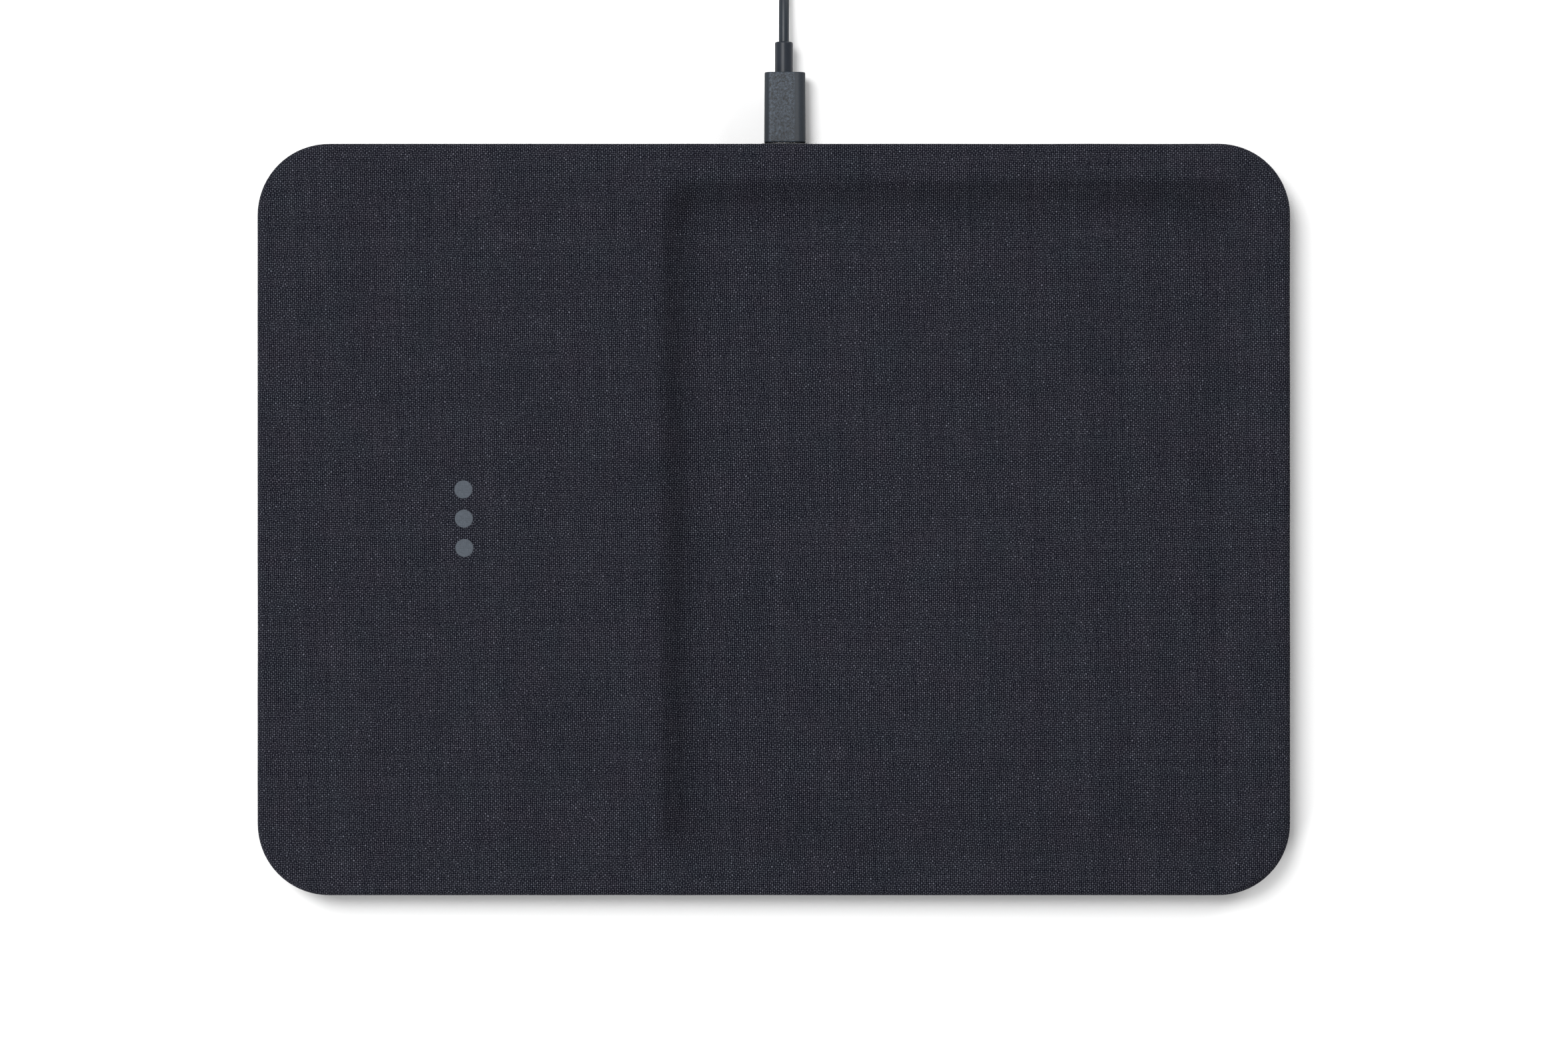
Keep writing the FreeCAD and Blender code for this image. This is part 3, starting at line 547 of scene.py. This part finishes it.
def cloth_of(P):
    """Where each point of the cover lies in the flat cloth, in millimetres."""
    x, y, z = P[:, 0], P[:, 1], P[:, 2]
    out = np.column_stack([x, y, np.zeros(len(P))])
    # outer sides: straight out from the outline by the length that hangs down
    half = np.array([PAD_X / 2 - CORNER_R, PAD_Y / 2 - CORNER_R])
    q = np.abs(P[:, :2]) - half
    corner = (q[:, 0] > 0) & (q[:, 1] > 0)
    far = np.where(corner, np.hypot(q[:, 0], q[:, 1]), np.maximum(q[:, 0], q[:, 1]))
    n = np.where(corner[:, None], q / np.maximum(far, 1e-6)[:, None],
                 np.column_stack([q[:, 0] >= q[:, 1], q[:, 1] > q[:, 0]]).astype(float)) * np.sign(P[:, :2])
    inset = CORNER_R - far
    outer = path_excess(OUTER[::-1])
    order = np.argsort(outer[:, 0])
    hang = np.interp(z, outer[order, 0], outer[order, 1])
    under = (z < WRAP_Z + 0.75) & (inset > 0.75)
    hang = np.where(under, outer[:, 1].max() + 2 * (inset - 0.8), hang)
    edge = inset < 5.0
    out[edge, :2] += n[edge] * hang[edge, None]
    # tray: half the extra length stays on the wall, and the floor takes up the rest over its first 35 mm
    inner = path_excess(TRAY)
    order = np.argsort(inner[:, 0])
    extra = np.interp(z, inner[order, 0], inner[order, 1]) * 0.5

    def near(d):
        s = np.clip(1.0 - d / 35.0, 0.0, 1.0)
        return s * s * (3 - 2 * s)

    wx = near(np.maximum(0, x - TRAY_X0 - 3)) - near(np.maximum(0, TRAY_X1 - 3 - x))
    wy = near(np.maximum(0, y + TRAY_Y - 3)) - near(np.maximum(0, TRAY_Y - 3 - y))
    w = np.column_stack([wx, wy]) / np.maximum(1.0, np.hypot(wx, wy))[:, None]
    sunk = ~edge
    out[sunk, :2] += w[sunk] * extra[sunk, None]
    return out


co = np.zeros(len(linen.data.vertices) * 3, np.float32)
linen.data.vertices.foreach_get("co", co)
attr = linen.data.attributes.new("cloth", "FLOAT_VECTOR", "POINT")
attr.data.foreach_set("vector", cloth_of(co.reshape(-1, 3).astype(float) / MM).astype(np.float32).ravel())
wear(linen, LINEN)
linen.data.shade_smooth()
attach(linen, "pad")
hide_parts("linen_cover")

# ------------------------------------------------------------------ the three marks, printed on the cloth
def ink_material():
    mat, t, bsdf = material("grey_ink")
    cloth = t.coords("Object")
    n = t.node("ShaderNodeVectorMath", operation="SCALE")
    t.link(cloth.s, n.inputs[0])
    n.inputs["Scale"].default_value = 1000.0
    mm = Sock(t, n.outputs[0])
    h, warp_up, yarn, crown, crown_b, (cx, cy) = linen_weave(t, mm)
    rib = ((cy * (2 * math.pi / WEFT)).cos() * 0.5 + 0.5)
    soft = t.noise(mm, 1.6, 3.0, 0.6)
    # painted light and shade: the ink is lighter on the yarn crowns and along the tops of the weft ribs, darker
    # between them
    value = 0.74 + rib * 0.16 + t.step(h, 0.2, 0.9) * 0.22 + (soft - 0.5) * 0.35 + (crown - 0.5) * 0.12
    col = t.scale_colour((0.0655, 0.0765, 0.0925), value)
    t.link(col.s, bsdf.inputs["Base Color"])
    bsdf.inputs["Roughness"].default_value = 0.8
    bsdf.inputs["Specular IOR Level"].default_value = 0.2
    nrm = t.bump(h * 0.5 + rib * 0.5, 0.35, 0.00006)
    t.link(nrm.s, bsdf.inputs["Normal"])
    return mat


INK = ink_material()


def build_marks():
    verts, fcs = [], []
    rr = np.random.default_rng(7)
    for d in (-1, 0, 1):
        cy = d * DOT_PITCH + 0.2
        cx = CHARGE_X + 0.12 * (-d)
        base = len(verts)
        n = 72
        edge = np.array([1.0 + 0.012 * rr.normal() for _ in range(n)])
        edge = (edge + np.roll(edge, 1) + np.roll(edge, -1)) / 3
        for frac, z in ((1.0, 14.93), (1.0, 15.015), (0.965, 15.055), (0.72, 15.062), (0.36, 15.062)):
            for i in range(n):
                a = 2 * math.pi * i / n
                r = DOT_D / 2 * frac * edge[i]
                verts.append((cx + r * math.cos(a), cy + r * math.sin(a), z))
        verts.append((cx, cy, 15.062))
        verts.append((cx, cy, 14.93))
        top, low = len(verts) - 2, len(verts) - 1
        for k in range(4):
            for i in range(n):
                j = (i + 1) % n
                fcs.append((base + k * n + i, base + k * n + j, base + (k + 1) * n + j, base + (k + 1) * n + i))
        for i in range(n):
            j = (i + 1) % n
            fcs.append((base + 4 * n + i, base + 4 * n + j, top))
            fcs.append((base + j, base + i, low))
    m = bpy.data.meshes.new("charging_marks")
    m.from_pydata([tuple(q * MM for q in p) for p in verts], [], fcs)
    m.update()
    m.shade_smooth()
    o = bpy.data.objects.new("charging_marks", m)
    scene.collection.objects.link(o)
    return o


marks = build_marks()
wear(marks, INK)
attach(marks, "pad")
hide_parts("locating_dots")


# ------------------------------------------------------------------ plain finishes, each with its own grain
def moulded(name, col, rough=0.5, grain=2500.0, depth=0.00003, strength=0.5, spec=0.5, vary=0.12, sheen=0.0):
    """Moulded plastic or rubber: spark-eroded grain and slight colour drift."""
    mat, t, bsdf = material(name)
    p = t.coords("Object")
    fine = t.noise(p, grain, 3.0, 0.6)
    broad = t.noise(p, 60.0, 3.0, 0.5)
    value = 1.0 + (fine - 0.5) * (vary * 2.0) + (broad - 0.5) * vary
    t.link(t.scale_colour(col, value).s, bsdf.inputs["Base Color"])
    r = rough + (fine - 0.5) * 0.16 + (broad - 0.5) * 0.08
    t.link(r.s, bsdf.inputs["Roughness"])
    bsdf.inputs["Specular IOR Level"].default_value = spec
    if sheen:
        bsdf.inputs["Sheen Weight"].default_value = sheen
    t.link(t.bump(fine, strength, depth).s, bsdf.inputs["Normal"])
    return mat


def metal(name, col, rough=0.28, along=(1.0, 0.04, 0.04), scale=5000.0, depth=0.000008):
    """Drawn or plated metal with fine lines along one way."""
    mat, t, bsdf = material(name)
    p = t.coords("Object")
    x, y, z = t.split(p)
    lines = t.noise(t.vec(x * along[0], y * along[1], z * along[2]), scale, 2.0, 0.6)
    broad = t.noise(p, 220.0, 2.0, 0.5)
    t.link(t.scale_colour(col, 0.9 + lines * 0.12 + broad * 0.08).s, bsdf.inputs["Base Color"])
    bsdf.inputs["Metallic"].default_value = 1.0
    t.link((rough + (lines - 0.5) * 0.2 + (broad - 0.5) * 0.1).s, bsdf.inputs["Roughness"])
    t.link(t.bump(lines, 0.4, depth).s, bsdf.inputs["Normal"])
    return mat


def board_material():
    mat, t, bsdf = material("board_green")
    p = t.coords("Object")
    x, y, z = t.split(p)
    weave = ((x * 4200.0).cos() * (y * 4200.0).cos()) * 0.5 + 0.5
    tracks = t.noise(p, 420.0, 0.0)
    line = t.step((tracks - 0.5).abs(), 0.0, 0.05)
    col = t.colour(line, (0.030, 0.165, 0.070), (0.010, 0.082, 0.036))
    t.link(t.scale_colour(col, 0.92 + weave * 0.12).s, bsdf.inputs["Base Color"])
    t.link((0.30 + weave * 0.06 + line * 0.08).s, bsdf.inputs["Roughness"])
    t.link(t.bump(line * 0.7 + weave * 0.1, 0.5, 0.00002).s, bsdf.inputs["Normal"])
    return mat


def litz_material():
    mat, t, bsdf = material("litz_copper")
    p = t.coords("Object")
    x, y, z = t.split(p)
    r = ((x - CHARGE_X * MM).pow(2.0) + y.pow(2.0)).sqrt()
    ang = t.math("ARCTAN2", y, x - CHARGE_X * MM)
    twist = ((ang * 90.0 + r * 9000.0).cos()) * 0.5 + 0.5
    fine = t.noise(p, 3000.0, 2.0)
    col = t.colour(twist, (0.30, 0.115, 0.045), (0.66, 0.30, 0.13))
    t.link(t.scale_colour(col, 0.85 + fine * 0.3).s, bsdf.inputs["Base Color"])
    bsdf.inputs["Metallic"].default_value = 0.75
    t.link((0.34 + fine * 0.12).s, bsdf.inputs["Roughness"])
    t.link(t.bump(twist, 0.5, 0.00006).s, bsdf.inputs["Normal"])
    return mat


def ceramic_material(name, a, b):
    mat, t, bsdf = material(name)
    p = t.coords("Object")
    g = t.noise(p, 1800.0, 4.0, 0.65)
    sp = t.step(t.noise(p, 5200.0, 1.0), 0.60, 0.72)
    col = t.colour(g, a, b)
    t.link(t.scale_colour(col, 1.0 + sp * 0.5).s, bsdf.inputs["Base Color"])
    t.link((0.46 + g * 0.2).s, bsdf.inputs["Roughness"])
    t.link(t.bump(g, 0.4, 0.00002).s, bsdf.inputs["Normal"])
    return mat


def foam_material():
    mat, t, bsdf = material("cell_foam")
    n = t.node("ShaderNodeTexVoronoi", feature="F1")
    t.link(t.coords("Object").s, n.inputs["Vector"])
    n.inputs["Scale"].default_value = 2600.0
    d = Sock(t, n.outputs["Distance"])
    t.link(t.scale_colour((0.032, 0.032, 0.034), 0.6 + d * 0.9).s, bsdf.inputs["Base Color"])
    bsdf.inputs["Roughness"].default_value = 0.95
    t.link(t.bump(d, 0.8, 0.0001).s, bsdf.inputs["Normal"])
    return mat


def clear_material():
    mat, t, bsdf = material("clear_acrylic")
    p = t.coords("Object")
    g = t.noise(p, 900.0, 2.0)
    t.link(t.scale_colour((0.80, 0.83, 0.86), 0.95 + g * 0.1).s, bsdf.inputs["Base Color"])
    t.link((0.18 + g * 0.12).s, bsdf.inputs["Roughness"])
    bsdf.inputs["IOR"].default_value = 1.49
    bsdf.inputs["Transmission Weight"].default_value = 0.6
    t.link(t.bump(g, 0.2, 0.00001).s, bsdf.inputs["Normal"])
    return mat


SHELL = moulded("black_abs", (0.021, 0.022, 0.026), 0.55, 2200.0, 0.00003, 0.5)
BEZEL = moulded("bezel_black", (0.016, 0.0175, 0.021), 0.48, 3000.0, 0.00002, 0.28)
CHIP = moulded("chip_black", (0.013, 0.013, 0.014), 0.48, 4200.0, 0.00002, 0.5)
IVORY = moulded("ivory_nylon", (0.72, 0.69, 0.60), 0.42, 2600.0, 0.00002, 0.4)
WHITE_INS = moulded("white_insulator", (0.72, 0.73, 0.74), 0.38, 2600.0, 0.00001, 0.3)
LED_MAT = moulded("led_lens", (0.86, 0.85, 0.74), 0.22, 1800.0, 0.00001, 0.2)
WIRE = moulded("wire_jacket", (0.36, 0.032, 0.030), 0.36, 1500.0, 0.00001, 0.3)
STEEL = metal("plated_steel", (0.52, 0.52, 0.53), 0.26)
BALLAST = metal("rolled_steel", (0.36, 0.36, 0.37), 0.44, (1.0, 0.02, 1.0), 2600.0)
GOLD = metal("gold_plate", (0.86, 0.63, 0.26), 0.22)
BOARD = board_material()
LITZ = litz_material()
FERRITE = ceramic_material("sintered_ferrite", (0.030, 0.030, 0.033), (0.050, 0.050, 0.054))
CAP = ceramic_material("chip_capacitor", (0.21, 0.15, 0.09), (0.31, 0.23, 0.15))
FOAM = foam_material()
CLEAR = clear_material()


def plug_material(name, facet=None):
    """Moulded plug body: charcoal with a fine bright grain, smoother along its rounded sides. Given a facet, the
    rounded sides are also darker, which is painted shade, and the left part of the facet lighter, which is a painted
    highlight.
    """
    mat, t, bsdf = material(name)
    p = t.coords("Object")
    fine = t.noise(p, 3600.0, 2.0, 0.7)
    mid = t.noise(p, 1800.0, 1.0, 0.6)
    broad = t.noise(p, 130.0, 2.0, 0.5)
    grain = (fine - 0.5) * 2.2 + (mid - 0.5) * 2.4
    if facet:
        x = t.split(p)[0] * 1000.0 + (broad - 0.5) * 0.5
        # the rounded sides beside the facet: their finer grain is the plug's own, their darker colour is painted shade
        plain_and_shaded_side = t.step(x, facet[1] - 0.25, facet[1] + 0.25) + 1.0 - t.step(x, facet[0] - 0.25, facet[0] + 0.25)
        # painted highlight: the left part of the facet, towards the light, is lighter
        painted_highlight_strip = 1.0 - t.step(x, facet[0], facet[0] + 2.4)
        value = (0.75 + painted_highlight_strip * 0.15 + grain * 1.0) * (1.0 - plain_and_shaded_side) + (0.50 + grain * 0.1) * plain_and_shaded_side
        depth = 1.0 - plain_and_shaded_side * 0.75
    else:
        value = 0.84 + grain * 0.6
        depth = 1.0 - broad * 0.2
    value = value + (broad - 0.5) * 0.16
    t.link(t.scale_colour((0.0313, 0.0407, 0.0538), value).s, bsdf.inputs["Base Color"])
    t.link((0.54 + (fine - 0.5) * 0.2).s, bsdf.inputs["Roughness"])
    bsdf.inputs["Specular IOR Level"].default_value = 0.3
    t.link(t.bump((fine * 0.6 + mid * 0.4) * depth, 0.8, 0.00004).s, bsdf.inputs["Normal"])
    return mat


def cable_material(name, col, rough, gloss):
    mat, t, bsdf = material(name)
    p = t.coords("Object")
    fine = t.noise(p, 2600.0, 2.0, 0.6)
    broad = t.noise(p, 90.0, 3.0, 0.5)
    t.link(t.scale_colour(col, 0.86 + fine * 0.16 + broad * 0.16).s, bsdf.inputs["Base Color"])
    t.link((rough + (fine - 0.5) * 0.12 + (broad - 0.5) * 0.12).s, bsdf.inputs["Roughness"])
    bsdf.inputs["Specular IOR Level"].default_value = gloss
    t.link(t.bump(fine * 0.5 + broad * 0.5, 0.4, 0.00003).s, bsdf.inputs["Normal"])
    return mat


PLUG = plug_material("plug_body")
# the facet's edges sit off centre: the right side band is wider, as painted shade on the side turned from the light
PLUG_C = plug_material("plug_body_faceted", (2.55 - 3.8, 2.55 + 2.75))
CABLE = cable_material("cable_jacket", (0.0122, 0.0172, 0.0238), 0.40, 0.29)
SLEEVE = cable_material("sleeve_jacket", (0.0112, 0.0146, 0.0214), 0.43, 0.26)


def rubber_material():
    """Silicone foot mat: matt, with a very fine even texture."""
    mat, t, bsdf = material("mat_silicone")
    p = t.coords("Object")
    n = t.node("ShaderNodeTexVoronoi", feature="SMOOTH_F1")
    t.link(p.s, n.inputs["Vector"])
    n.inputs["Scale"].default_value = 900.0
    d = Sock(t, n.outputs["Distance"])
    broad = t.noise(p, 30.0, 4.0, 0.55)
    dust = t.step(t.noise(p, 700.0, 2.0), 0.66, 0.80)
    value = 0.85 + (d - 0.3) * 0.35 + (broad - 0.5) * 0.35 + dust * 0.5
    t.link(t.scale_colour((0.030, 0.031, 0.034), value).s, bsdf.inputs["Base Color"])
    t.link((0.72 + (broad - 0.5) * 0.2).s, bsdf.inputs["Roughness"])
    bsdf.inputs["Specular IOR Level"].default_value = 0.35
    t.link(t.bump(d, 0.6, 0.00008).s, bsdf.inputs["Normal"])
    return mat


RUBBER = rubber_material()


def strap_material():
    """Woven hook-and-loop strap."""
    mat, t, bsdf = material("strap_weave")
    p = t.coords("Object")
    x, y, z = t.split(p)
    a = t.math("ARCTAN2", y - COIL_Y * MM, x - COIL_X * MM)
    r = ((x - COIL_X * MM).pow(2.0) + (y - COIL_Y * MM).pow(2.0)).sqrt()
    ribs = ((a * 260.0).cos() * 0.5 + 0.5)
    across = (((r + z) * 9000.0).cos() * 0.5 + 0.5)
    fuzz = t.noise(p, 4200.0, 4.0, 0.7)
    value = 0.5 + ribs * 0.35 + across * 0.25 + (fuzz - 0.5) * 0.7
    t.link(t.scale_colour((0.020, 0.020, 0.022), value).s, bsdf.inputs["Base Color"])
    bsdf.inputs["Roughness"].default_value = 0.9
    bsdf.inputs["Sheen Weight"].default_value = 0.2
    t.link(t.bump(ribs * 0.5 + across * 0.2 + fuzz * 0.4, 0.8, 0.00012).s, bsdf.inputs["Normal"])
    return mat


STRAP = strap_material()

FINISH = {
    "top_shell": SHELL, "bottom_shell": SHELL, "base_mat": RUBBER, "case_screws": STEEL, "ballast_plate": BALLAST,
    "ballast_foam": FOAM, "coil_carrier": SHELL, "ferrite_plate": FERRITE, "charging_coil": LITZ, "coil_leads": LITZ,
    "thermistor": CHIP, "control_board": BOARD, "controller_chip": CHIP, "driver_transistors": CHIP,
    "resonant_capacitors": CAP, "power_inductor": FERRITE, "filter_capacitors": CAP, "harness_socket": IVORY,
    "board_screws": STEEL, "status_led": LED_MAT, "light_pipe": CLEAR, "power_harness": WIRE, "usb_board": BOARD,
    "usb_board_screws": STEEL, "receptacle_shell": STEEL, "receptacle_tongue": CHIP, "receptacle_contacts": GOLD,
    "port_bezel": BEZEL, "plug_c_overmould": PLUG_C, "plug_c_shell": STEEL, "plug_c_insert": CHIP,
    "plug_c_contacts": GOLD, "plug_c_sleeve": SLEEVE, "cable_tie": STRAP, "plug_a_sleeve": SLEEVE,
    "plug_a_overmould": PLUG, "plug_a_shell": STEEL, "plug_a_insulator": WHITE_INS, "plug_a_contacts": GOLD,
}
for name, mat in FINISH.items():
    wear(nodes[name], mat)
wear(cable, CABLE)

# ------------------------------------------------------------------ floor and light
floor_mesh = bpy.data.meshes.new("floor")
floor_mesh.from_pydata([(-1.3, -1.3, -0.00005), (1.3, -1.3, -0.00005), (1.3, 1.3, -0.00005), (-1.3, 1.3, -0.00005)], [], [(0, 1, 2, 3)])
floor = bpy.data.objects.new("floor", floor_mesh)
scene.collection.objects.link(floor)
floor_mat, ft, fb = material("pale_floor")
fb.inputs["Base Color"].default_value = (0.86, 0.86, 0.86, 1.0)
fb.inputs["Roughness"].default_value = 0.9
fb.inputs["Specular IOR Level"].default_value = 0.1
wear(floor, floor_mat)

world = bpy.data.worlds.new("studio")
scene.world = world
world.use_nodes = True
world.node_tree.nodes["Background"].inputs["Color"].default_value = (1.0, 1.0, 1.0, 1.0)
world.node_tree.nodes["Background"].inputs["Strength"].default_value = 0.33
# the light comes from a dimmer sky than the white wall that stands behind the table
wt = world.node_tree
wall = wt.nodes.new("ShaderNodeBackground")
wall.inputs["Color"].default_value = (1.0, 1.0, 1.0, 1.0)
wall.inputs["Strength"].default_value = 1.0
path = wt.nodes.new("ShaderNodeLightPath")
both = wt.nodes.new("ShaderNodeMixShader")
wt.links.new(path.outputs["Is Camera Ray"], both.inputs[0])
wt.links.new(wt.nodes["Background"].outputs[0], both.inputs[1])
wt.links.new(wall.outputs[0], both.inputs[2])
wt.links.new(both.outputs[0], wt.nodes["World Output"].inputs["Surface"])


def softbox(name, zenith, azimuth, dist, size, power):
    """A round soft light aimed at the object, placed by its angle from straight up and its angle round from +X."""
    d = bpy.data.lights.new(name, "AREA")
    d.shape = "DISK"
    d.size = size
    d.energy = power
    o = bpy.data.objects.new(name, d)
    scene.collection.objects.link(o)
    z, a = math.radians(zenith), math.radians(azimuth)
    at = Vector((dist * math.sin(z) * math.cos(a), dist * math.sin(z) * math.sin(a), dist * math.cos(z)))
    o.location = at
    o.rotation_euler = (-at).to_track_quat("-Z", "Y").to_euler()
    return o


softbox("key", 23.5, 135.0, 2.0, 0.82, 27.8)
softbox("upper", 12.0, 130.0, 2.0, 0.50, 9.0)
softbox("low_front", 68.0, 225.0, 3.0, 1.15, 50.0)
softbox("low_back", 68.0, 45.0, 3.0, 1.15, 38.0)
softbox("low_side", 68.0, 135.0, 3.0, 1.15, 10.0)

scene.view_settings.view_transform = "Standard"
scene.view_settings.look = "None"
